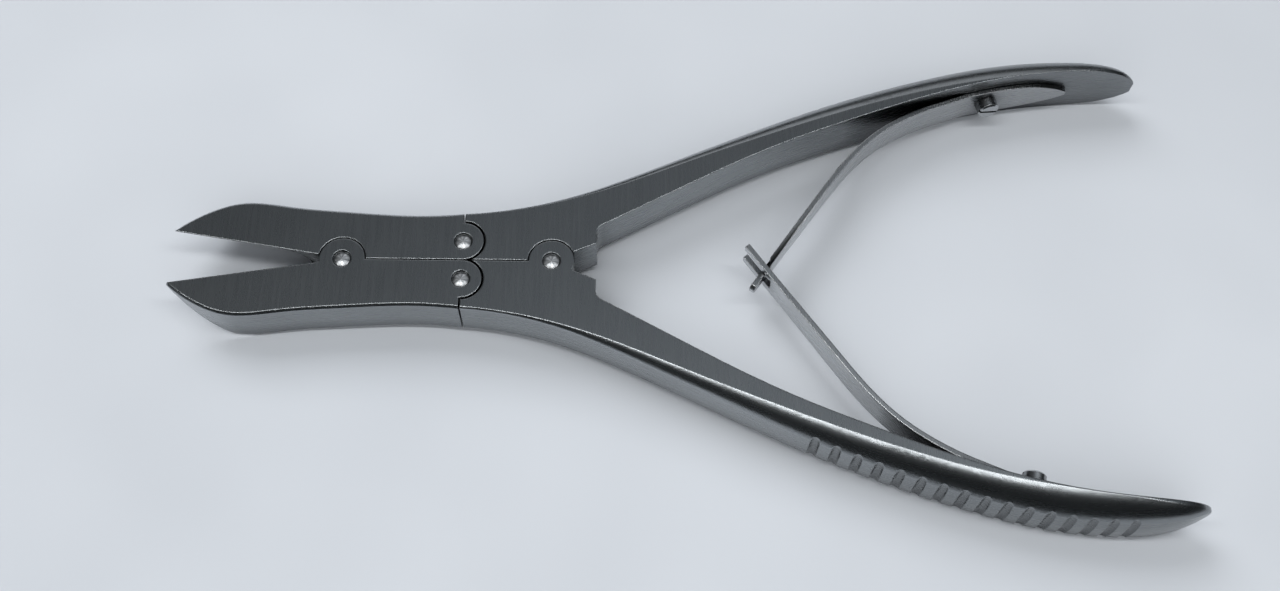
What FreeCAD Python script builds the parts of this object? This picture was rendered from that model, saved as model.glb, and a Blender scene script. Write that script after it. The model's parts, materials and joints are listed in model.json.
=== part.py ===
import FreeCAD, Part
import math
import os

from FreeCAD import Placement, Rotation, Vector

# Bone cutting forceps with compound leverage: two jaws and two handles joined by four pins,
# and two leaf springs, one forked and one tongued, that push the handles apart.
# Units are millimetres. X runs from the jaws to the grips, Y across, Z up.
# The pieces are drawn from the handle pivot axis and the underside of the joint,
# then placed so that the origin lies under the middle of the whole tool.

SIZES = {
    "joint_thickness": 9.0,
    "link_front": 23.0,
    "link_rear": 17.4,
    "link_offset": 4.0,
    "axis_gap": 0.08,
    "split_gap": 0.3,
    "lap_gap": 0.04,
    "boss_radius": 4.3,
    "boss_gap": 0.2,
    "tail_radius": 3.92,
    "tail_gap": 0.4,
    "joint_half_width": 10.15,
    "waist_half_width": 9.65,
    "blade_angle": 9.5,
    "blade_length": 33.0,
    "belly_half_width": 11.85,
    "belly_reach": 20.6,
    "edge_face": 0.15,
    "bevel_root_inset": 0.5,
    "bevel_run": 19.5,
    "bevel_angle": 46.0,
    "edge_break": 0.45,
    "pin_radius": 1.2,
    "pin_play": 0.04,
    "open_pivot_play": 0.08,
    "head_recess_radius": 1.75,
    "head_recess_depth": 0.5,
    "head_radius": 1.5,
    "head_rise": 0.43,
    "head_rim": 0.1,
    "head_play": 0.02,
    "handle_reach": 119.3,
    "handle_spread": 49.6,
    "grip_thickness": 12.6,
    "bevel_bulge": 0.12,
    "shoulder_reach": 8.5,
    "shoulder_height": 3.85,
    "shoulder_drop": 2.2,
    "groove_radius": 0.92,
    "groove_depth": 0.75,
    "groove_back": 14.5,
    "groove_pitch": 3.76,
    "groove_count": 16,
    "leaf_thickness": 1.0,
    "leaf_seat_gap": 0.08,
    "leaf_half_width": 3.5,
    "leaf_arm_half_width": 2.1,
    "leaf_cross_back": 78.6,
    "leaf_drop": 2.0,
    "leaf_arm_angle": 54.8,
    "leaf_arm_start": 22.0,
    "leaf_tail_back": 14.1,
    "tongue_half_width": 1.1,
    "tongue_past": 4.4,
    "fork_half_width": 2.9,
    "slot_half_width": 1.4,
    "prong_past": 5.7,
    "slot_lead": 1.5,
    "screw_back": 31.3,
    "screw_shank_radius": 1.2,
    "screw_shank_length": 3.6,
    "screw_head_radius": 2.2,
    "screw_head_height": 2.3,
    "screw_slot_width": 0.55,
    "screw_slot_depth": 0.7,
    "screw_play": 0.04,
}

# Values that follow from the sizes: where the pivots, the blade tips, the grooves and the
# springs lie along X, and the shift of every finished piece into the shared frame.
DERIVED = {
    "split_x": "=-sqrt(link_rear ^ 2 - link_offset ^ 2)",
    "jaw_pivot_x": "=split_x - sqrt(link_front ^ 2 - link_offset ^ 2)",
    "tip_x": "=jaw_pivot_x - blade_length * cos(blade_angle * 1 deg)",
    "groove_first": "=handle_reach - groove_back - (groove_count - 1) * groove_pitch",
    "leaf_cross_x": "=handle_reach - leaf_cross_back",
    "leaf_tail_x": "=handle_reach - leaf_tail_back",
    "screw_x": "=handle_reach - screw_back",
    "frame_x": "=-(tip_x + handle_reach) / 2",
    "frame_z": "=grip_thickness - joint_thickness",
}

doc = FreeCAD.newDocument("BoneCuttingForceps")
sheet = doc.addObject("Spreadsheet::Sheet", "Sizes")
for row, (alias, value) in enumerate({**SIZES, **DERIVED}.items(), start=1):
    sheet.set("A%d" % row, alias)
    sheet.set("B%d" % row, str(value))
    sheet.setAlias("B%d" % row, alias)
doc.recompute()


def size(alias):
    return float(sheet.get(alias))


THICK = size("joint_thickness")
AXIS_GAP = size("axis_gap")
SPLIT_HALF = size("split_gap") / 2

# The pivots along X, and the cutting edge, seen from above with the forceps open.
SPLIT_X = size("split_x")
JAW_PIVOT_X = size("jaw_pivot_x")
BLADE_TURN = math.radians(size("blade_angle"))
BLADE_ALONG = Vector(-math.cos(BLADE_TURN), math.sin(BLADE_TURN), 0)
BLADE_INTO = Vector(math.sin(BLADE_TURN), math.cos(BLADE_TURN), 0)
EDGE_ORIGIN = Vector(JAW_PIVOT_X, AXIS_GAP, 0)
BLADE_TIP = EDGE_ORIGIN + BLADE_ALONG * size("blade_length")
FRAME = Placement(Vector(size("frame_x"), 0, size("frame_z")), Rotation())

# Expressions, in the sheet's own values, that several pieces share.
LOWER_LAP = "(Sizes.joint_thickness - Sizes.lap_gap) / 2"
UPPER_LAP = "(Sizes.joint_thickness + Sizes.lap_gap) / 2"
LINK_X = "Sizes.split_x"
LINK_Y = {1: "Sizes.link_offset", -1: "-Sizes.link_offset"}
JAW_X = "Sizes.jaw_pivot_x"


def spline(points, start_tangent=None, end_tangent=None):
    """A smooth curve through the given points."""
    curve = Part.BSplineCurve()
    if start_tangent is None:
        curve.interpolate(Points=points)
    else:
        curve.interpolate(Points=points, InitialTangent=start_tangent, FinalTangent=end_tangent)
    return curve


def bind(obj, **expressions):
    """Tie properties of a feature to the sheet; pos_x, pos_y and pos_z stand for its place."""
    places = {"pos_x": "Placement.Base.x", "pos_y": "Placement.Base.y", "pos_z": "Placement.Base.z"}
    for name, expression in expressions.items():
        obj.setExpression(places.get(name, name), expression)
    return obj


def outline_sketch(name, geometry, placement=None):
    """A closed outline, its ends joined in the order given."""
    sketch = doc.addObject("Sketcher::SketchObject", name)
    sketch.addGeometry(geometry, False)
    if placement is not None:
        sketch.Placement = placement
    return sketch


def extrude(name, sketch, direction, forward, backward="0"):
    """A solid of the outline's shape, its length tied to the sheet."""
    solid = doc.addObject("Part::Extrusion", name)
    solid.Base = sketch
    solid.DirMode = "Custom"
    solid.Dir = direction
    solid.Solid = True
    solid.setExpression("LengthFwd", forward)
    solid.setExpression("LengthRev", backward)
    return solid


def cylinder(name, radius, low, high, x="0", y="0"):
    """An upright cylinder between two heights."""
    solid = doc.addObject("Part::Cylinder", name)
    bind(solid, Radius=radius, Height="(%s) - (%s)" % (high, low), pos_x=x, pos_y=y, pos_z=low)
    return solid


def cut(name, base, tools):
    """The base with each tool taken away."""
    fused = tools[0]
    if len(tools) > 1:
        fused = fuse(name + "_tools", tools)
    result = doc.addObject("Part::Cut", name)
    result.Base = base
    result.Tool = fused
    return result


def fuse(name, pieces):
    """One solid made of several that meet."""
    result = doc.addObject("Part::MultiFuse", name)
    result.Shapes = pieces
    result.Refine = True
    return result


def common(name, pieces):
    """What two solids share."""
    result = doc.addObject("Part::MultiCommon", name)
    result.Shapes = pieces
    return result


def mirror_across(name, source):
    """The same form on the other side of the long axis."""
    result = doc.addObject("Part::Mirroring", name)
    result.Source = source
    result.Normal = Vector(0, 1, 0)
    return result


def polygon_wire(name, points):
    """A closed flat polygon, as a section for a loft."""
    feature = doc.addObject("Part::Polygon", name)
    feature.Nodes = points
    feature.Close = True
    return feature


def loft(name, sections, ruled):
    """A solid carried through its sections."""
    solid = doc.addObject("Part::Loft", name)
    solid.Sections = sections
    solid.Solid = True
    solid.Ruled = ruled
    return solid


# Jaws
def jaw_plan():
    """Half of the jaws seen from above: cutting edge, curved back, straight tail."""
    pivot_x = JAW_PIVOT_X
    end_x = SPLIT_X - SPLIT_HALF
    waist = size("waist_half_width")
    belly = size("belly_half_width")
    belly_x = pivot_x - size("belly_reach")
    tip_y = BLADE_TIP.y
    back = spline([
        BLADE_TIP,
        Vector((BLADE_TIP.x + belly_x) / 2, tip_y + 0.66 * (belly - tip_y), 0),
        Vector(belly_x, belly, 0),
        Vector((pivot_x + belly_x) / 2, 0.3 * waist + 0.7 * belly, 0),
        Vector(pivot_x, 0.7 * waist + 0.3 * belly, 0),
        Vector((pivot_x + end_x) / 2, waist, 0),
        Vector(end_x, size("joint_half_width"), 0),
    ])
    corner = Vector(end_x, AXIS_GAP, 0)
    return [
        Part.LineSegment(EDGE_ORIGIN, BLADE_TIP),
        back,
        Part.LineSegment(Vector(end_x, size("joint_half_width"), 0), corner),
        Part.LineSegment(corner, EDGE_ORIGIN),
    ]


def bevel_section(name, along, inset):
    """Across the blade: everything under the bevel and in front of the cutting edge."""
    edge_z = THICK - size("edge_face")
    below = 1.0
    outside = 2.0
    reach = inset * (edge_z + below) / edge_z
    base = EDGE_ORIGIN + BLADE_ALONG * along
    corners = [(0, edge_z), (reach, -below), (-outside, -below), (-outside, edge_z)]
    return polygon_wire(name, [base + BLADE_INTO * v + Vector(0, 0, z) for v, z in corners])


def blade_bevel():
    """The bevel starts upright beside the boss and leans back to its full angle further out."""
    start = size("boss_radius") + size("boss_gap") + 0.3
    full_inset = THICK / math.tan(math.radians(size("bevel_angle")))
    beyond = size("blade_length") + 2
    return loft("blade_bevel", [
        bevel_section("bevel_root", start, size("bevel_root_inset")),
        bevel_section("bevel_full", size("bevel_run"), full_inset),
        bevel_section("bevel_beyond", beyond, full_inset),
    ], True)


def outer_edges(shape, top_z):
    """Edges of the curved back in the top and bottom planes."""
    found = []
    for number, edge in enumerate(shape.Edges, start=1):
        heights = [vertex.Z for vertex in edge.Vertexes]
        level = all(abs(z) < 1e-6 or abs(z - top_z) < 1e-6 for z in heights)
        curved = not isinstance(edge.Curve, Part.Line)
        if level and curved:
            found.append(number)
    return found


def jaw_blank():
    """A jaw before its joints: the profiled plate with a softened back and a bevelled blade."""
    sketch = outline_sketch("jaw_plan", jaw_plan())
    plate = extrude("jaw_plate", sketch, Vector(0, 0, 1), "Sizes.joint_thickness")
    doc.recompute()
    softened = doc.addObject("Part::Chamfer", "jaw_softened")
    softened.Base = plate
    width = size("edge_break")
    softened.Edges = [(number, width, width) for number in outer_edges(plate.Shape, THICK)]
    return cut("jaw_blank", softened, [blade_bevel()])


# Handles
def handle_outer():
    """The outer side of a handle seen from above."""
    front = size("joint_half_width")
    reach = size("handle_reach")
    spread = size("handle_spread")
    flare = [(0.13, 0.394), (0.31, 0.603), (0.45, 0.752), (0.62, 0.894), (0.77, 0.98), (0.89, 1),
             (0.955, 0.982), (1, 0.94)]
    return spline([
        Vector(SPLIT_X, front, 0), Vector(SPLIT_X / 2, front + 1.0, 0), Vector(1, front + 3.4, 0),
    ] + [Vector(along * reach, across * spread, 0) for along, across in flare])


def handle_inner_points():
    """The inner side of a handle, from behind its shoulder to the tip of the grip."""
    reach = size("handle_reach")
    spread = size("handle_spread")
    start = Vector(size("shoulder_reach") + 1.1, size("shoulder_height") + 4.1, 0)
    flare = [(0.22, 0.346), (0.365, 0.528), (0.5, 0.664), (0.65, 0.796), (0.8, 0.886),
             (0.91, 0.915), (1, 0.921)]
    return [start] + [Vector(along * reach, across * spread, 0) for along, across in flare]


OUTER = handle_outer()
INNER = spline(handle_inner_points())


def curve_y(curve, x):
    """How far a plan curve stands from the long axis at one place along it."""
    points, _ = curve.intersectCS(Part.Plane(Vector(x, 0, 0), Vector(1, 0, 0)))
    return points[0].Y


def eased(stops):
    """A value that runs smoothly through its stops along the handle, as a curve."""
    reach = size("handle_reach")
    return spline([Vector(share * reach, value, 0) for share, value in stops])


def handle_section(index, x, values):
    """Across the handle: flat top and bottom, a rounded bevel above a nearly flat outer wall."""
    drop, total, inset, depth, low, bow, width = [curve_y(curve, x) for curve in values]
    top = THICK - max(drop, 0)
    bottom = THICK - total
    outer = curve_y(OUTER, x)
    inner = outer - width
    wall = outer - bow
    ridge = outer - inset
    if x > handle_inner_points()[0].x:
        ridge = max(ridge, curve_y(INNER, x) + 0.1)
    bulge = size("bevel_bulge")
    high = top - depth
    foot = bottom + low
    middle = (high + foot) / 2
    crest = ((ridge + wall) / 2 + bulge * depth, (top + high) / 2 + bulge * (wall - ridge))
    profile = [
        (inner, bottom), (inner, top), (ridge, top), crest, (wall, high), (outer, middle),
        (wall, foot), (wall - low, bottom),
    ]
    corner = [Vector(x, y, z) for y, z in profile]
    edges = [
        Part.LineSegment(corner[0], corner[1]), Part.LineSegment(corner[1], corner[2]),
        Part.Arc(corner[2], corner[3], corner[4]), Part.Arc(corner[4], corner[5], corner[6]),
        Part.LineSegment(corner[6], corner[7]), Part.LineSegment(corner[7], corner[0]),
    ]
    section = doc.addObject("Part::Feature", "handle_section_%02d" % index)
    section.Shape = Part.Wire([edge.toShape() for edge in edges])
    return section


def handle_plan():
    """Everything outside the inner side of a handle: straight front, shoulder, curved grip."""
    start_x = SPLIT_X + SPLIT_HALF
    far = 1.2 * size("handle_spread")
    end_x = size("handle_reach") + 1
    shoulder = Vector(size("shoulder_reach"), size("shoulder_height"), 0)
    lip = Vector(0.88 * size("boss_radius"), 0.46 * shoulder.y, 0)
    foot = shoulder + Vector(-0.15, size("shoulder_drop"), 0)
    inner = handle_inner_points()
    bend = (foot + inner[0]) / 2 + Vector(-0.25, 0.15, 0)
    end = Vector(end_x, inner[-1].y, 0)
    corners = [Vector(end_x, far, 0), Vector(start_x, far, 0), Vector(start_x, AXIS_GAP, 0)]
    points = [inner[-1], end] + corners + [Vector(lip.x, AXIS_GAP, 0), lip, shoulder, foot]
    sides = [Part.LineSegment(a, b) for a, b in zip(points, points[1:])]
    return [spline(inner)] + sides + [Part.Arc(foot, bend, inner[0])]


def grip_grooves():
    """File-cut grooves across the outer wall of the grip, as one tool."""
    tools = []
    for index in range(int(size("groove_count"))):
        x = size("groove_first") + index * size("groove_pitch")
        groove = cylinder("groove_%02d" % (index + 1), "Sizes.groove_radius",
                          "-Sizes.grip_thickness", "2 * Sizes.grip_thickness")
        bind(groove, pos_x="Sizes.groove_first + %d * Sizes.groove_pitch" % index)
        bind(groove, pos_y="%.4f + Sizes.groove_radius - Sizes.groove_depth" % curve_y(OUTER, x))
        tools.append(groove)
    return tools


def handle_blank():
    """A handle before its joints: lofted grip, trimmed to its inner side and grooved."""
    reach = size("handle_reach")
    front = SPLIT_X / reach
    grip = size("grip_thickness")
    deeper = grip - THICK
    soft = size("edge_break")
    top_drop = [(front, 0), (0.1, 0), (0.3, 0), (0.55, 0), (0.76, 0), (0.88, 0.012 * grip),
                (0.94, 0.08 * grip), (0.97, 0.167 * grip), (0.988, 0.27 * grip), (1, 0.4 * grip)]
    thickness = [(front, THICK), (0.1, THICK), (0.2, THICK + 0.03 * deeper),
                 (0.32, THICK + 0.11 * deeper), (0.45, THICK + 0.33 * deeper),
                 (0.6, THICK + 0.66 * deeper), (0.72, THICK + 0.88 * deeper), (0.83, grip),
                 (0.9, 0.985 * grip), (0.95, 0.91 * grip), (0.98, 0.79 * grip), (1, 0.63 * grip)]
    bevel_inset = [(front, soft), (-0.04, soft + 0.05), (0.06, 1.1), (0.13, 1.7), (0.22, 2.3),
                   (0.3, 3.0), (0.4, 3.8), (0.55, 4.4), (0.7, 4.9), (0.85, 4.7), (0.95, 2.5),
                   (1, 0.4)]
    bevel_depth = [(front, soft), (-0.04, soft + 0.05), (0.06, 0.9), (0.13, 1.2), (0.22, 1.6),
                   (0.3, 2.1), (0.4, 2.5), (0.55, 2.8), (0.75, 3.1), (0.9, 3.0), (0.97, 1.5),
                   (1, 0.3)]
    low_bevel = [(front, soft), (0.1, 0.45), (0.4, 0.5), (0.7, 0.8), (0.9, 0.8), (1, 0.3)]
    wall_bow = [(front, 0.02), (0, 0.04), (0.2, 0.12), (0.4, 0.2), (0.6, 0.3), (0.85, 0.3),
                (0.95, 0.25), (1, 0.1)]
    width = [(front, 13.0), (0.07, 16.0), (0.3, 11.0), (0.6, 9.0), (1, 5.0)]
    values = [eased(stops) for stops in (top_drop, thickness, bevel_inset, bevel_depth, low_bevel,
                                         wall_bow, width)]
    stations = [front, -0.09, -0.03, 0.03, 0.1, 0.17, 0.25, 0.35, 0.45, 0.55, 0.66, 0.77, 0.86,
                0.92, 0.96, 0.985, 1]
    sections = [handle_section(index, share * reach, values)
                for index, share in enumerate(stations)]
    body = loft("handle_body", sections, False)
    sketch = outline_sketch("handle_plan", handle_plan())
    plan = extrude("handle_trim", sketch, Vector(0, 0, 1),
                   "Sizes.grip_thickness + 3", "Sizes.grip_thickness")
    trimmed = common("handle_trimmed", [body, plan])
    return cut("handle_blank", trimmed, grip_grooves())


# Joints
def in_frame(part):
    """Put a finished piece, drawn from the handle pivot, in the shared frame."""
    return bind(part, pos_x="Sizes.frame_x", pos_z="Sizes.frame_z")


def joined_arm(name, blank, recesses, rounds, holes, tapped=()):
    """An arm with its laps: recesses for its neighbours' rounds, its own rounds, then its holes."""
    relieved = cut(name + "_relieved", blank, [
        cylinder("%s_recess_%d" % (name, number), radius, low, high, x, y)
        for number, (radius, low, high, x, y) in enumerate(recesses, start=1)
    ])
    rounded = fuse(name + "_rounded", [relieved] + [
        cylinder("%s_round_%d" % (name, number), radius, low, high, x, y)
        for number, (radius, low, high, x, y) in enumerate(rounds, start=1)
    ])
    bores = [
        cylinder("%s_hole_%d" % (name, number), radius, low, high, x, y)
        for number, (radius, low, high, x, y) in enumerate(holes, start=1)
    ]
    return in_frame(cut(name, rounded, bores + list(tapped)))


BELOW = "-Sizes.joint_thickness"
ABOVE = "2 * Sizes.joint_thickness"
TOP = "Sizes.joint_thickness"
HEAD_TOP = "Sizes.joint_thickness - Sizes.head_recess_depth"
HEAD_BOTTOM = "Sizes.head_recess_depth"
BOSS_RECESS = "Sizes.boss_radius + Sizes.boss_gap"
TAIL_RECESS = "Sizes.tail_radius + Sizes.tail_gap"
PIN_HOLE = "Sizes.pin_radius + Sizes.pin_play"
OPEN_HOLE = "Sizes.pin_radius + Sizes.open_pivot_play"


def pivot_boss(boss_on_top, x, hole):
    """Recess, round and holes where two arms lap at a pivot on the long axis."""
    if boss_on_top:
        recess = (BOSS_RECESS, BELOW, UPPER_LAP, x, "0")
        boss = ("Sizes.boss_radius", UPPER_LAP, TOP, x, "0")
        seat = ("Sizes.head_recess_radius", HEAD_TOP, ABOVE, x, "0")
    else:
        recess = (BOSS_RECESS, LOWER_LAP, ABOVE, x, "0")
        boss = ("Sizes.boss_radius", "0", LOWER_LAP, x, "0")
        seat = ("Sizes.head_recess_radius", BELOW, HEAD_BOTTOM, x, "0")
    return recess, boss, [(hole, BELOW, ABOVE, x, "0"), seat]


def make_jaw(name, blank, side):
    """The lower jaw carries its boss on top and the upper jaw underneath; both tails lie on top."""
    y = LINK_Y[side]
    hole = OPEN_HOLE if side > 0 else PIN_HOLE
    recess, boss, holes = pivot_boss(side < 0, JAW_X, hole)
    holes.append((PIN_HOLE, BELOW, ABOVE, LINK_X, y))
    holes.append(("Sizes.head_recess_radius", HEAD_TOP, ABOVE, LINK_X, y))
    tail_recess = (TAIL_RECESS, BELOW, UPPER_LAP, LINK_X, y)
    tail = ("Sizes.tail_radius", UPPER_LAP, TOP, LINK_X, y)
    return joined_arm(name, blank, [recess, tail_recess], [boss, tail], holes)


def make_handle(name, blank, side):
    """The lower handle carries its boss on top and the upper handle underneath."""
    y = LINK_Y[side]
    recess, boss, holes = pivot_boss(side < 0, "0", PIN_HOLE)
    holes.append((PIN_HOLE, BELOW, ABOVE, LINK_X, y))
    holes.append(("Sizes.head_recess_radius", BELOW, HEAD_BOTTOM, LINK_X, y))
    tongue_recess = (TAIL_RECESS, LOWER_LAP, ABOVE, LINK_X, y)
    tongue = ("Sizes.tail_radius", "0", LOWER_LAP, LINK_X, y)
    tapped = screw_hole(name + "_tapped", side, size("screw_shank_length") + size("screw_play"))
    return joined_arm(name, blank, [recess, tongue_recess], [boss, tongue], holes, [tapped])


# Turned pieces
def turned_body(name, profile):
    """A piece turned about its own upright axis from half its outline."""
    body = doc.addObject("PartDesign::Body", name)
    sketch = body.newObject("Sketcher::SketchObject", name + "_profile")
    plane = [item for item in body.Origin.OriginFeatures if item.Role == "XZ_Plane"][0]
    sketch.AttachmentSupport = [(plane, "")]
    sketch.MapMode = "FlatFace"
    sketch.addGeometry(profile, False)
    turned = body.newObject("PartDesign::Revolution", name + "_turned")
    turned.Profile = sketch
    turned.ReferenceAxis = (sketch, ["V_Axis"])
    turned.Angle = 360
    body.Tip = turned
    return body


def chain(points):
    """Straight sides through the points, closed back to the first."""
    return [Part.LineSegment(a, b) for a, b in zip(points, points[1:] + points[:1])]


def make_pin(name, x, y):
    """A rivet pin: plain shank with a low dome sunk in a round recess at each end."""
    shank = size("pin_radius")
    head = size("head_radius")
    seat = size("head_recess_depth") - size("head_play")
    rim = seat - size("head_rim")
    crown = size("head_rise") - size("head_rim")
    dome = (head ** 2 + crown ** 2) / (2 * crown)
    half_turn = math.asin(head / dome) / 2
    way = Vector(dome * math.sin(half_turn), rim - crown + dome * (1 - math.cos(half_turn)), 0)
    low = [Vector(0, rim - crown, 0), way, Vector(head, rim, 0)]
    high = [Vector(point.x, THICK - point.y, 0) for point in low]
    corners = [low[2], Vector(head, seat, 0), Vector(shank, seat, 0),
               Vector(shank, THICK - seat, 0), Vector(head, THICK - seat, 0), high[2]]
    sides = [Part.LineSegment(a, b) for a, b in zip(corners, corners[1:])]
    profile = [Part.Arc(*low)] + sides
    profile += [Part.Arc(*high[::-1]), Part.LineSegment(high[0], low[0])]
    pin = turned_body(name, profile)
    return bind(pin, pos_x=x + " + Sizes.frame_x", pos_y=y, pos_z="Sizes.frame_z")


# Leaf springs
def inner_side(x):
    """A place on the inner side of the upper handle, and the way out of it towards the axis."""
    place = Vector(x, curve_y(INNER, x), 0)
    slope = INNER.tangent(INNER.parameter(place))[0]
    out = Vector(slope.y, -slope.x, 0)
    if out.y > 0:
        out = -out
    return place, out.normalize()


ARM_TURN = math.radians(size("leaf_arm_angle"))
ARM_ALONG = Vector(math.cos(ARM_TURN), math.sin(ARM_TURN), 0)
ARM_SIDE = Vector(math.sin(ARM_TURN), -math.cos(ARM_TURN), 0)
CROSSING = Vector(size("leaf_cross_x"), 0, 0)
LEAF_LEVEL = THICK / 2 - size("leaf_drop")


def leaf_side(depth):
    """One side of the leaf, at a depth from the face that lies on the handle."""
    tail = size("leaf_tail_x")
    screw = size("screw_x")
    seat_end = screw - 4
    steps = 8
    along = [(tail + (seat_end - tail) * step / steps, 0) for step in range(steps + 1)]
    along += [(screw - 7, 0.3), (screw - 13, 0.8), (screw - 18.7, 1.6), (screw - 24, 2.9)]
    points = []
    for x, lift in along:
        place, out = inner_side(x)
        points.append(place + out * (size("leaf_seat_gap") + lift + depth))
    from_middle = depth - size("leaf_thickness") / 2
    arm = CROSSING + ARM_SIDE * from_middle
    points.append(arm + ARM_ALONG * size("leaf_arm_start"))
    first = points[1] - points[0]
    curve = spline(points, first.normalize(), -ARM_ALONG)
    return curve, points[0], points[-1], arm


def leaf_ribbon():
    """The leaf seen from above: along the grip, away from it, then straight past the axis."""
    past = max(size("tongue_past"), size("prong_past")) + 2
    near, near_tail, near_start, near_arm = leaf_side(0)
    far, far_tail, far_start, far_arm = leaf_side(size("leaf_thickness"))
    near_end = near_arm - ARM_ALONG * past
    far_end = far_arm - ARM_ALONG * past
    return [
        near, Part.LineSegment(near_start, near_end), Part.LineSegment(near_end, far_end),
        Part.LineSegment(far_end, far_start), far, Part.LineSegment(far_tail, near_tail),
    ]


def arm_x(distance):
    """Where a distance along the arm from the crossing lies along the forceps."""
    return CROSSING.x + distance * math.cos(ARM_TURN)


def leaf_profile(end):
    """The leaf seen from the side: pointed tail, wide body, arm narrowing and rising to its end."""
    tail = size("leaf_tail_x")
    seat_end = size("screw_x") - 4
    wide = size("leaf_half_width")
    width = size("leaf_arm_half_width")
    if end == "fork":
        width = size("fork_half_width")
    arm_start = arm_x(size("leaf_arm_start"))
    lead = size("slot_lead")
    down = LEAF_LEVEL - THICK / 2
    midway = (0.6 * arm_start + 0.4 * seat_end, 0.4 * down)
    stops = [
        (tail, down, 0.5), (tail - 4.5, down, 0.68 * wide), (tail - 10, down, 0.95 * wide),
        (seat_end, down, wide), (midway[0], midway[1], 0.97 * wide),
        (arm_start, 0, 0.25 * width + 0.72 * wide),
    ]
    edge = [Vector(x, level + half, 0) for x, level, half in stops]
    mirrored = [Vector(x, level - half, 0) for x, level, half in stops]
    if end == "fork":
        edge_end = [Vector(arm_x(lead + 4), width, 0), Vector(arm_x(-size("prong_past")), width, 0)]
        slot = size("slot_half_width")
        inside = [Vector(edge_end[1].x, slot, 0), Vector(arm_x(lead), slot, 0)]
    else:
        tongue = size("tongue_half_width")
        shoulder = arm_x(lead)
        tip = arm_x(-size("tongue_past"))
        edge_end = [Vector(shoulder, width, 0), Vector(shoulder, tongue, 0)]
        inside = [Vector(tip + 0.4, tongue, 0), Vector(tip, 0.5 * tongue, 0)]
    half = edge_end + inside
    other = [Vector(point.x, -point.y, 0) for point in half]
    points = [edge[-1]] + half + other[::-1] + [mirrored[-1]]
    sides = [Part.LineSegment(a, b) for a, b in zip(points, points[1:])]
    tail_side = Part.LineSegment(mirrored[0], edge[0])
    return [spline(edge)] + sides + [spline(mirrored[::-1]), tail_side]


def screw_place(side):
    """On the free face of the leaf, pointing out of the handle."""
    place, out = inner_side(size("screw_x"))
    place = place + out * (size("leaf_seat_gap") + size("leaf_thickness"))
    base = Vector(place.x, side * place.y, LEAF_LEVEL)
    return Placement(base, Rotation(Vector(0, 0, 1), Vector(out.x, side * out.y, 0)))


def screw_hole(name, side, depth):
    """A round hole on the screw's line, from just above the leaf down to a depth."""
    above = 0.5
    hole = doc.addObject("Part::Cylinder", name)
    hole.Height = depth + above
    hole.Placement = screw_place(side).multiply(Placement(Vector(0, 0, -depth), Rotation()))
    return bind(hole, Radius="Sizes.screw_shank_radius + Sizes.screw_play")


def make_leaf(name, ribbon, end, side):
    """A leaf spring cut from its ribbon, with its screw hole."""
    stand = Placement(Vector(0, 0, THICK / 2), Rotation(Vector(1, 0, 0), 90))
    sketch = outline_sketch(name + "_profile", leaf_profile(end), stand)
    reach = "2 * Sizes.handle_reach"
    slab = extrude(name + "_slab", sketch, Vector(0, 1, 0), reach, reach)
    shaped = common(name + "_shaped", [ribbon, slab])
    hole = screw_hole(name + "_hole", side, 1.5 * size("leaf_thickness"))
    return in_frame(cut(name, shaped, [hole]))


def make_screw(name, side):
    """A slotted cheese-head screw that clamps the leaf to the handle."""
    head = size("screw_head_radius")
    height = size("screw_head_height")
    lift = size("screw_play")
    shank = size("screw_shank_radius")
    down = -size("screw_shank_length")
    round_in = 0.35
    corner = [
        Vector(0, down, 0), Vector(shank - 0.2, down, 0), Vector(shank, down + 0.2, 0),
        Vector(shank, lift, 0), Vector(head, lift, 0), Vector(head, height - round_in, 0),
        Vector(head - round_in, height, 0), Vector(0, height, 0),
    ]
    body = turned_body(name, chain(corner))
    slot = body.newObject("Sketcher::SketchObject", name + "_slot_outline")
    plane = [item for item in body.Origin.OriginFeatures if item.Role == "XY_Plane"][0]
    slot.AttachmentSupport = [(plane, "")]
    slot.MapMode = "FlatFace"
    slot.AttachmentOffset = Placement(Vector(0, 0, height), Rotation())
    half = size("screw_slot_width") / 2
    reach = head + 1
    slot.addGeometry(chain([
        Vector(-reach, -half, 0), Vector(reach, -half, 0),
        Vector(reach, half, 0), Vector(-reach, half, 0),
    ]), False)
    doc.recompute()
    whole = body.Shape.Volume
    pocket = body.newObject("PartDesign::Pocket", name + "_slot")
    pocket.Profile = slot
    pocket.setExpression("Length", "Sizes.screw_slot_depth")
    body.Tip = pocket
    body.Placement = FRAME.multiply(screw_place(side))
    doc.recompute()
    if body.Shape.Volume > whole - 0.5 * half * head * size("screw_slot_depth"):
        raise RuntimeError("the screw slot cut nothing")
    return body


upper_jaw_blank = jaw_blank()
lower_jaw_blank = mirror_across("lower_jaw_blank", upper_jaw_blank)
upper_handle_blank = handle_blank()
lower_handle_blank = mirror_across("lower_handle_blank", upper_handle_blank)
ribbon_sketch = outline_sketch("leaf_plan", leaf_ribbon())
upper_ribbon = extrude("upper_ribbon", ribbon_sketch, Vector(0, 0, 1), "2 * Sizes.joint_thickness",
                       "Sizes.joint_thickness")
lower_ribbon = mirror_across("lower_ribbon", upper_ribbon)

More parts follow.
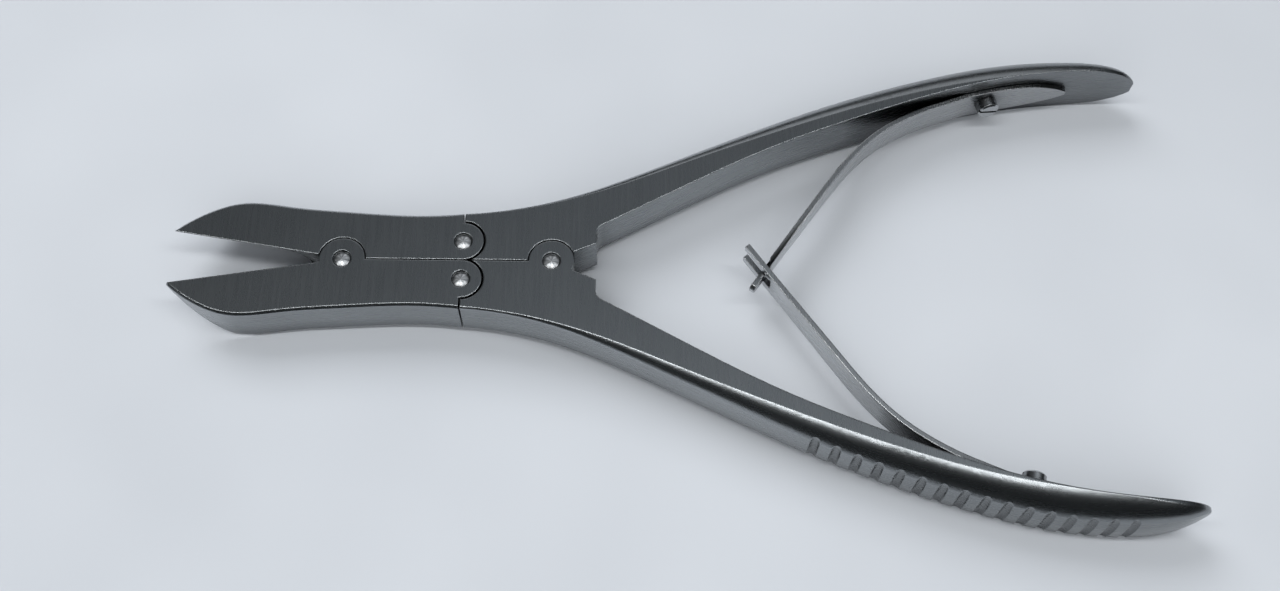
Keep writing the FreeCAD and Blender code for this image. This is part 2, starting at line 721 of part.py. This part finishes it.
PARTS = [
    make_jaw("upper_jaw", upper_jaw_blank, 1),
    make_jaw("lower_jaw", lower_jaw_blank, -1),
    make_handle("upper_handle", upper_handle_blank, 1),
    make_handle("lower_handle", lower_handle_blank, -1),
    make_pin("jaw_pivot_pin", JAW_X, "0"),
    make_pin("handle_pivot_pin", "0", "0"),
    make_pin("upper_link_pin", LINK_X, LINK_Y[1]),
    make_pin("lower_link_pin", LINK_X, LINK_Y[-1]),
    make_leaf("upper_leaf_spring", upper_ribbon, "tongue", 1),
    make_leaf("lower_leaf_spring", lower_ribbon, "fork", -1),
    make_screw("upper_spring_screw", 1),
    make_screw("lower_spring_screw", -1),
]
doc.recompute()

for obj in doc.Objects:
    if "Invalid" in obj.State or "Error" in obj.State:
        raise RuntimeError("%s failed: %s" % (obj.Name, obj.State))
os.makedirs("parts", exist_ok=True)
for part in PARTS:
    shape = part.Shape
    if shape.isNull() or not shape.isValid() or len(shape.Solids) != 1:
        raise RuntimeError("%s is not one valid solid" % part.Label)
    shape.exportStep("parts/%s.step" % part.Label)
    print("%-20s %9.2f mm3" % (part.Label, shape.Volume))
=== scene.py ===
"""Looks for the bone cutting forceps: camera, light, floor, steel finishes and refitted leaves."""
import json
import math

import bmesh
import bpy
from mathutils import Matrix, Vector


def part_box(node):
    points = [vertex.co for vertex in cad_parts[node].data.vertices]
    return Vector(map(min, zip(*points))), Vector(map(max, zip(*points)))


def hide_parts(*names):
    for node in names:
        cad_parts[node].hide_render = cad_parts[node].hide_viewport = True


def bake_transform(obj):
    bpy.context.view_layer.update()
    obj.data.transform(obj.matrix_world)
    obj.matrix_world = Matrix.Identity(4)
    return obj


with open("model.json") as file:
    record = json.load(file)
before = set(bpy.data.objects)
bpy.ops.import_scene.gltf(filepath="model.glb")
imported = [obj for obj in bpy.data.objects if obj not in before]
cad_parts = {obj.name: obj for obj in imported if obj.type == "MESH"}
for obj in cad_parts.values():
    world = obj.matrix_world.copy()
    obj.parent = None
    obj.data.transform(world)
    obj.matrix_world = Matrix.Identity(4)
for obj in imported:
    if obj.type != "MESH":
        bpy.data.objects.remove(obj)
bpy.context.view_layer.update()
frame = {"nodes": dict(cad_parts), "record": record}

MM = 0.001
JOINTS = {joint["name"]: joint for joint in frame["record"]["behaviour"]["joints"]}
# The handle pivot, and the two levels of the joint's flat faces, in metres.
PIVOT = Vector(JOINTS["handle_pivot"]["pos_m"])
JOINT_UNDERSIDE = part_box("upper_jaw")[0][2]
JOINT_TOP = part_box("upper_jaw")[1][2]

# The camera's place, from the handle pivot at the level of the joint's top, and its directions.
CAMERA_PLACE = Vector((13.7 * MM, -120.4 * MM, 231.9 * MM))
CAMERA_BACK = Vector((-0.012, -0.4389, 0.8985))
CAMERA_RIGHT = Vector((0.9999, 0.0046, 0.0156))
CAMERA_LENS = 38.8

# Where the floor touches the grips and the blades along X, and how far it keeps below them.
GRIP_FOOT = 75 * MM
BLADE_FOOT = -90 * MM
FLOOR_CLEARANCE = 0.05 * MM
FLOOR_REACH = 3.0

# Painted shade: gaps and inside corners darken towards this colour, over this reach and with this
# falloff.
SHADE = (0.05, 0.052, 0.055)
SHADE_REACH = 5 * MM
SHADE_FALLOFF = 1.6

# Brushing: streaks across the flat faces and along the walls, with broad clouds over both. How
# flat a face counts as is the upward share of its normal, raised to this power.
FLAT_FALLOFF = 60.0
ACROSS_SCALE = (2600, 90, 300)
ALONG_SCALE = (70, 70, 1900)
CLOUD_SCALE = (75, 75, 75)
STREAK_FADE = 0.75
BRUSH_DEPTH = 0.02 * MM
# Painted shade: the grips' rounded faces darken by this share between these places along X.
GRIP_TONE = 0.28
GRIP_FROM = 10 * MM
GRIP_TO = 50 * MM
# The edges are broken by hand, so they are duller than the faces. They are found by how well the
# rounded normal agrees with the face's own: an edge up to the first value, a face from the second.
EDGE_ROUGHNESS = 0.45
EDGE_AGREEMENT = (0.8, 0.995)

# Painted highlights on the rivet heads, standing in for the glints their turning marks catch:
# this many broad and fine spokes of light and dark in the colour, and how strongly they show.
BROAD_GLINTS = 3.0
FINE_GLINTS = 8.0
GLINT_STRENGTH = 0.3

# Colours of the room that the steel reflects, and of the light that falls into it.
ROOM_DARK = (0.03, 0.033, 0.035)
ROOM_CEILING = (0.05, 0.056, 0.061)
ROOM_GLOW = (0.25, 0.28, 0.31)
ROOM_WALL = (0.85, 0.88, 0.92)
DAYLIGHT = (0.94, 0.965, 1.0)

# The leaves' arms stand at this angle to the tool's length and cross this far behind the handle
# pivot. The tongue's shoulders and the slot's root lie within this reach of the crossing, and
# are eased back a little. They clear each other with the handles open or closed, but halfway
# they still overlap by about 0.1 mm.
ARM_ANGLE = math.radians(54.8)
CROSSING_BACK = 40.7 * MM
SHOULDER_REACH = 1.0 * MM
SHOULDER_EASE = 0.4 * MM


def shaded_material(name, metallic):
    """A new material with its shader, and the coordinates that its textures follow."""
    material = bpy.data.materials.new(name)
    material.use_nodes = True
    tree = material.node_tree
    tree.nodes.clear()
    output = tree.nodes.new("ShaderNodeOutputMaterial")
    shader = tree.nodes.new("ShaderNodeBsdfPrincipled")
    tree.links.new(shader.outputs[0], output.inputs["Surface"])
    shader.inputs["Metallic"].default_value = metallic
    place = tree.nodes.new("ShaderNodeTexCoord")
    return material, tree, shader, place


def set_or_link(tree, socket, value):
    """Gives a socket a number, a colour or another node's output."""
    if isinstance(value, (int, float)):
        socket.default_value = value
    elif isinstance(value, tuple):
        socket.default_value = (*value, 1)
    else:
        tree.links.new(value, socket)


def math_node(tree, operation, first, second=None, clamp=False):
    """The result of a sum on numbers or other nodes' outputs."""
    node = tree.nodes.new("ShaderNodeMath")
    node.operation = operation
    node.use_clamp = clamp
    set_or_link(tree, node.inputs[0], first)
    if second is not None:
        set_or_link(tree, node.inputs[1], second)
    return node.outputs[0]


def mix(tree, kind, factor, first, second):
    """A number or a colour between two others: kind is FLOAT or RGBA."""
    node = tree.nodes.new("ShaderNodeMix")
    node.data_type = kind
    for socket, value in (("Factor", factor), ("A", first), ("B", second)):
        set_or_link(tree, node.inputs[socket], value)
    return node.outputs["Result"]


def split(tree, vector):
    """A vector's X, Y and Z."""
    node = tree.nodes.new("ShaderNodeSeparateXYZ")
    tree.links.new(vector, node.inputs[0])
    return node.outputs


def stretched_noise(tree, coordinates, scale, detail=2.0):
    """Noise with its own scale along each axis: a small number draws it out into a streak."""
    mapping = tree.nodes.new("ShaderNodeMapping")
    mapping.inputs["Scale"].default_value = scale
    tree.links.new(coordinates, mapping.inputs["Vector"])
    noise = tree.nodes.new("ShaderNodeTexNoise")
    noise.inputs["Scale"].default_value = 1.0
    noise.inputs["Detail"].default_value = detail
    noise.inputs["Roughness"].default_value = 0.6
    tree.links.new(mapping.outputs[0], noise.inputs["Vector"])
    return noise.outputs["Fac"]


def ramp(tree, value, low, high):
    """Noise spread over low to high: most of it lies between 0.3 and 0.7."""
    node = tree.nodes.new("ShaderNodeMapRange")
    node.inputs["From Min"].default_value = 0.3
    node.inputs["From Max"].default_value = 0.7
    node.inputs["To Min"].default_value = low
    node.inputs["To Max"].default_value = high
    tree.links.new(value, node.inputs["Value"])
    return node.outputs[0]


def smooth_range(tree, value, low, high):
    """Rises smoothly from nothing at the low value to one at the high value."""
    node = tree.nodes.new("ShaderNodeMapRange")
    node.interpolation_type = "SMOOTHSTEP"
    node.inputs["From Min"].default_value = low
    node.inputs["From Max"].default_value = high
    tree.links.new(value, node.inputs["Value"])
    return node.outputs[0]


def shaded_corners(tree, base):
    """The colour darkened by painted shade in gaps and inside corners."""
    node = tree.nodes.new("ShaderNodeAmbientOcclusion")
    node.samples = 8
    node.inputs["Distance"].default_value = SHADE_REACH
    open_share = math_node(tree, "POWER", node.outputs["AO"], SHADE_FALLOFF)
    return mix(tree, "RGBA", open_share, SHADE, base)


def steel(name, dark, light, roughness, brush, edge):
    """Stainless steel: brushed across its flat faces and finely along its walls, with painted
    shade in its gaps, inside corners and on the grips' rounded faces.
    """
    material, tree, shader, place = shaded_material(name, 1.0)
    upward = math_node(tree, "ABSOLUTE", split(tree, place.outputs["Normal"])["Z"])
    flat = math_node(tree, "POWER", upward, FLAT_FALLOFF)
    across = stretched_noise(tree, place.outputs["Object"], ACROSS_SCALE)
    along = stretched_noise(tree, place.outputs["Object"], ALONG_SCALE)
    streak = mix(tree, "FLOAT", STREAK_FADE, mix(tree, "FLOAT", flat, along, across), 0.5)

    cloud = stretched_noise(tree, place.outputs["Object"], CLOUD_SCALE, 3.0)
    tone = mix(tree, "FLOAT", 0.5, streak, cloud)
    base = mix(tree, "RGBA", ramp(tree, tone, 0.0, 1.0), dark, light)
    # Painted shade: the grips' walls and rounded faces, not their flat tops, darken towards SHADE.
    grip = smooth_range(tree, split(tree, place.outputs["Object"])["X"], GRIP_FROM, GRIP_TO)
    grip_painted_shade = math_node(tree, "MULTIPLY", grip, math_node(tree, "SUBTRACT", 1.0, flat))
    base = mix(tree, "RGBA", math_node(tree, "MULTIPLY", grip_painted_shade, GRIP_TONE), base, SHADE)
    tree.links.new(shaded_corners(tree, base), shader.inputs["Base Color"])

    bevel = tree.nodes.new("ShaderNodeBevel")
    bevel.samples = 16
    bevel.inputs["Radius"].default_value = edge
    geometry = tree.nodes.new("ShaderNodeNewGeometry")
    agreement = tree.nodes.new("ShaderNodeVectorMath")
    agreement.operation = "DOT_PRODUCT"
    tree.links.new(bevel.outputs[0], agreement.inputs[0])
    tree.links.new(geometry.outputs["Normal"], agreement.inputs[1])
    on_face = smooth_range(tree, agreement.outputs["Value"], *EDGE_AGREEMENT)
    face_roughness = ramp(tree, streak, *roughness)
    tree.links.new(mix(tree, "FLOAT", on_face, EDGE_ROUGHNESS, face_roughness),
                   shader.inputs["Roughness"])

    bump = tree.nodes.new("ShaderNodeBump")
    bump.inputs["Strength"].default_value = brush
    bump.inputs["Distance"].default_value = BRUSH_DEPTH
    tree.links.new(streak, bump.inputs["Height"])
    tree.links.new(bevel.outputs[0], bump.inputs["Normal"])
    tree.links.new(bump.outputs[0], shader.inputs["Normal"])
    return material


def turned_steel_with_painted_glints(name):
    """Rivet heads: satin domes with painted highlights, soft spokes of light in their colour."""
    material, tree, shader, place = shaded_material(name, 1.0)
    centred = tree.nodes.new("ShaderNodeVectorMath")
    centred.operation = "SUBTRACT"
    centred.inputs[1].default_value = (0.5, 0.5, 0.5)
    tree.links.new(place.outputs["Generated"], centred.inputs[0])
    parts = split(tree, centred.outputs[0])
    turn = math_node(tree, "ARCTAN2", parts["Y"], parts["X"])
    broad = math_node(tree, "SINE", math_node(tree, "MULTIPLY", turn, BROAD_GLINTS))
    fine = math_node(tree, "SINE", math_node(tree, "MULTIPLY", turn, FINE_GLINTS))
    painted_glints = math_node(tree, "MULTIPLY", math_node(tree, "ADD", broad, fine), GLINT_STRENGTH)
    share = math_node(tree, "ADD", painted_glints, 0.5, clamp=True)
    # Painted highlights: the colour runs from dark grey to near white around each head.
    base = mix(tree, "RGBA", share, (0.34, 0.35, 0.36), (0.95, 0.96, 0.97))
    tree.links.new(shaded_corners(tree, base), shader.inputs["Base Color"])
    grain = stretched_noise(tree, place.outputs["Object"], (1400, 1400, 1400), 3.0)
    tree.links.new(ramp(tree, grain, 0.34, 0.44), shader.inputs["Roughness"])
    return material


def floor_material():
    """Pale blue-grey sheet with faint clouds and a slight waviness."""
    material, tree, shader, place = shaded_material("pale_sheet", 0.0)
    shader.inputs["Roughness"].default_value = 0.7
    shader.inputs["Specular IOR Level"].default_value = 0.2
    cloud = stretched_noise(tree, place.outputs["Object"], (14, 14, 14))
    base = mix(tree, "RGBA", ramp(tree, cloud, 0.0, 1.0), (0.635, 0.655, 0.685),
               (0.695, 0.715, 0.745))
    tree.links.new(base, shader.inputs["Base Color"])
    bump = tree.nodes.new("ShaderNodeBump")
    bump.inputs["Strength"].default_value = 0.1
    bump.inputs["Distance"].default_value = 2 * MM
    tree.links.new(stretched_noise(tree, place.outputs["Object"], (30, 30, 30)),
                   bump.inputs["Height"])
    tree.links.new(bump.outputs[0], shader.inputs["Normal"])
    return material


def aim(thing, place, right, back):
    """Puts a camera or lamp at a place, facing away from its back direction."""
    back = back.normalized()
    right = (right - back * right.dot(back)).normalized()
    turn = Matrix((right, back.cross(right), back)).transposed().to_4x4()
    thing.matrix_world = Matrix.Translation(place) @ turn


def make_camera():
    """The photograph's view: high in front of the tool, near enough for strong perspective."""
    data = bpy.data.cameras.new("camera")
    data.sensor_width = 36.0
    data.lens = CAMERA_LENS
    data.clip_start = 0.01
    camera = bpy.data.objects.new("camera", data)
    bpy.context.scene.collection.objects.link(camera)
    aim(camera, CAMERA_PLACE + Vector((PIVOT.x, PIVOT.y, JOINT_TOP)), CAMERA_RIGHT, CAMERA_BACK)
    bpy.context.scene.camera = camera


def area_light(name, direction, distance, size, power, color, glossy):
    """A rectangular light aimed at the tool: without glossy, the steel doesn't reflect it."""
    data = bpy.data.lights.new(name, "AREA")
    data.shape = "RECTANGLE"
    data.size, data.size_y = size
    data.energy = power
    data.color = color
    lamp = bpy.data.objects.new(name, data)
    bpy.context.scene.collection.objects.link(lamp)
    toward = Vector(direction).normalized()
    aim(lamp, toward * distance, Vector((1, 0, 0)), toward)
    lamp.visible_glossy = glossy


def make_world():
    """A dim room: dark overhead and in front, with a bright band high on the wall behind."""
    world = bpy.data.worlds.new("room")
    bpy.context.scene.world = world
    world.use_nodes = True
    tree = world.node_tree
    tree.nodes.clear()
    output = tree.nodes.new("ShaderNodeOutputWorld")
    background = tree.nodes.new("ShaderNodeBackground")
    tree.links.new(background.outputs[0], output.inputs["Surface"])
    place = tree.nodes.new("ShaderNodeTexCoord")
    # Each range is of a direction's share: X to the right, Y away from the camera, Z up.
    parts = split(tree, place.outputs["Generated"])
    below_ceiling = smooth_range(tree, parts["Y"], 0.6, 0.82)
    above_horizon = smooth_range(tree, parts["Z"], 0.3, 0.56)
    behind = math_node(tree, "MULTIPLY", below_ceiling, above_horizon)
    overhead = smooth_range(tree, parts["Z"], 0.3, 0.9)
    backward = smooth_range(tree, parts["Y"], -0.2, 0.35)
    toward_wall = smooth_range(tree, parts["Y"], 0.36, 0.57)
    toward_middle = math_node(tree, "SUBTRACT", 1.0, toward_wall)
    toward_right = smooth_range(tree, parts["X"], -0.35, 0.15)
    ceiling = mix(tree, "RGBA", math_node(tree, "MULTIPLY", toward_middle, toward_right),
                  ROOM_CEILING, ROOM_GLOW)
    dim = mix(tree, "RGBA", math_node(tree, "MULTIPLY", overhead, backward), ROOM_DARK, ceiling)
    tree.links.new(mix(tree, "RGBA", behind, dim, ROOM_WALL), background.inputs["Color"])
    background.inputs["Strength"].default_value = 1.0


def make_floor():
    """The sheet under the tool, sloped so that the grips and the blades both touch it."""
    slope = JOINT_UNDERSIDE / (GRIP_FOOT - BLADE_FOOT)
    mesh = bpy.data.meshes.new("floor")
    corners = [(x * FLOOR_REACH, y * FLOOR_REACH,
                (GRIP_FOOT - x * FLOOR_REACH) * slope - FLOOR_CLEARANCE)
               for x, y in ((-1, -1), (1, -1), (1, 1), (-1, 1))]
    mesh.from_pydata(corners, [], [(0, 1, 2, 3)])
    floor = bpy.data.objects.new("floor", mesh)
    bpy.context.scene.collection.objects.link(floor)
    mesh.materials.append(floor_material())


def make_leaf(side, material):
    """The construction's leaf, copied with its free end fitted, in place of the original."""
    node_name = side + "_leaf_spring"
    spring = side + "_spring"
    heel = Vector(JOINTS[spring + "_flex"]["pos_m"])
    arm = Vector((math.cos(ARM_ANGLE), math.copysign(math.sin(ARM_ANGLE), heel.y), 0))
    sheet = bmesh.new()
    sheet.from_mesh(frame["nodes"][node_name].data)
    bmesh.ops.remove_doubles(sheet, verts=sheet.verts, dist=0.001 * MM)
    # The construction cuts the free ends square to the tool. Sliding their corners along the arm
    # cuts them square to the leaf.
    for vertex in sheet.verts:
        from_crossing = vertex.co - PIVOT - Vector((CROSSING_BACK, 0, 0))
        if from_crossing.x < 0:
            from_middle = from_crossing.y * arm.x - from_crossing.x * arm.y
            vertex.co -= arm * (from_middle * arm.y / arm.x)
        elif from_crossing.x < SHOULDER_REACH:
            vertex.co += SHOULDER_EASE * arm
    mesh = bpy.data.meshes.new(node_name + "_flexing")
    sheet.to_mesh(mesh)
    sheet.free()
    for polygon in mesh.polygons:
        polygon.use_smooth = True
    mesh.set_sharp_from_angle(angle=math.radians(30))
    mesh.materials.clear()
    mesh.materials.append(material)
    leaf = bpy.data.objects.new(node_name + "_flexing", mesh)
    bpy.context.scene.collection.objects.link(leaf)
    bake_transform(leaf)
    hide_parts(node_name)


FINISH = {
    "arm_steel": steel("arm_steel", dark=(0.315, 0.33, 0.34), light=(0.375, 0.39, 0.40),
                       roughness=(0.24, 0.31), brush=0.1, edge=0.35 * MM),
    "spring_steel": steel("leaf_steel", dark=(0.57, 0.58, 0.59), light=(0.63, 0.64, 0.65),
                          roughness=(0.25, 0.3), brush=0.03, edge=0.3 * MM),
    "screw_steel": steel("screw_steel", dark=(0.68, 0.69, 0.70), light=(0.78, 0.79, 0.80),
                         roughness=(0.22, 0.3), brush=0.1, edge=0.2 * MM),
    "pin_steel": turned_steel_with_painted_glints("pin_steel"),
}
for entry in frame["record"]["subparts"]:
    node = frame["nodes"][entry["node"]]
    for slot in node.material_slots:
        slot.material = FINISH[entry["material_slot"]]

for side in ("upper", "lower"):
    make_leaf(side, FINISH["spring_steel"])

make_camera()
make_floor()
make_world()
area_light("overhead_strip", direction=(0.0, -0.06, 1.0), distance=1.0, size=(1.6, 0.12),
           power=5.0, color=(0.97, 0.99, 1.0), glossy=True)
area_light("window", direction=(-0.5, 0.75, 0.9), distance=1.6, size=(1.1, 0.9),
           power=12.8, color=DAYLIGHT, glossy=False)
area_light("front_fill", direction=(0.0, -0.9, 0.8), distance=1.0, size=(1.4, 0.9),
           power=5.2, color=DAYLIGHT, glossy=False)
bpy.context.scene.view_settings.view_transform = "Standard"
